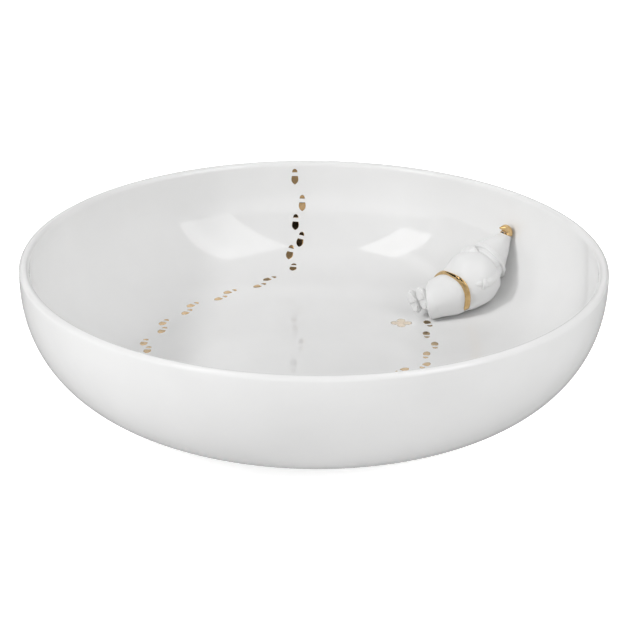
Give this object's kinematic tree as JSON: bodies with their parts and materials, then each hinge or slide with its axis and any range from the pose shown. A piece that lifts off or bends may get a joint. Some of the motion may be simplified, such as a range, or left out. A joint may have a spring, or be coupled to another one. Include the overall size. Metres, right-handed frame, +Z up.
{
  "type": "decorative bowl",
  "caption": "Shallow round glazed porcelain bowl with a foot ring, a small gnome reclining on the inside wall and a trail of gold shoe prints, for holiday sweets or nuts.",
  "frame": {"origin": "middle of the foot ring's underside, on the surface that the bowl stands on", "axes": "+Z up along the bowl's axis, -Y towards the viewer of the picture, +X to the viewer's right"},
  "size_m": [0.25, 0.25, 0.062],
  "materials": {
    "bowl_glaze": "white porcelain under a clear glossy glaze",
    "figure_glaze": "white porcelain under a clear glossy glaze, pooled in the creases",
    "gold_lustre": "polished fired gold lustre"
  },
  "bodies": {
    "root": {"bowl": "bowl_glaze", "gnome_coat": "figure_glaze", "gnome_head": "figure_glaze", "gnome_hat": "figure_glaze", "gnome_beard": "figure_glaze", "gnome_nose": "figure_glaze", "gnome_left_arm": "figure_glaze", "gnome_left_mitten": "figure_glaze", "gnome_left_boot": "figure_glaze", "gnome_right_arm": "figure_glaze", "gnome_right_mitten": "figure_glaze", "gnome_right_boot": "figure_glaze", "gnome_hat_tip": "gold_lustre", "gnome_belt": "gold_lustre", "clover_print": "gold_lustre", "wall_print_sole_1": "gold_lustre", "wall_print_sole_2": "gold_lustre", "wall_print_sole_3": "gold_lustre", "wall_print_sole_4": "gold_lustre", "wall_print_sole_5": "gold_lustre", "wall_print_sole_6": "gold_lustre", "wall_print_heel_1": "gold_lustre", "wall_print_heel_2": "gold_lustre", "wall_print_heel_3": "gold_lustre", "wall_print_heel_4": "gold_lustre", "wall_print_heel_5": "gold_lustre", "wall_print_heel_6": "gold_lustre", "floor_print_sole_1": "gold_lustre", "floor_print_sole_2": "gold_lustre", "floor_print_sole_3": "gold_lustre", "floor_print_sole_4": "gold_lustre", "floor_print_sole_5": "gold_lustre", "floor_print_sole_6": "gold_lustre", "floor_print_sole_7": "gold_lustre", "floor_print_sole_8": "gold_lustre", "floor_print_sole_9": "gold_lustre", "floor_print_sole_10": "gold_lustre", "floor_print_heel_1": "gold_lustre", "floor_print_heel_2": "gold_lustre", "floor_print_heel_3": "gold_lustre", "floor_print_heel_4": "gold_lustre", "floor_print_heel_5": "gold_lustre", "floor_print_heel_6": "gold_lustre", "floor_print_heel_7": "gold_lustre", "floor_print_heel_8": "gold_lustre", "floor_print_heel_9": "gold_lustre", "floor_print_heel_10": "gold_lustre", "return_print_sole_1": "gold_lustre", "return_print_sole_2": "gold_lustre", "return_print_sole_3": "gold_lustre", "return_print_sole_4": "gold_lustre", "return_print_sole_5": "gold_lustre", "return_print_sole_6": "gold_lustre", "return_print_heel_1": "gold_lustre", "return_print_heel_2": "gold_lustre", "return_print_heel_3": "gold_lustre", "return_print_heel_4": "gold_lustre", "return_print_heel_5": "gold_lustre", "return_print_heel_6": "gold_lustre"}
  },
  "joints": []
}
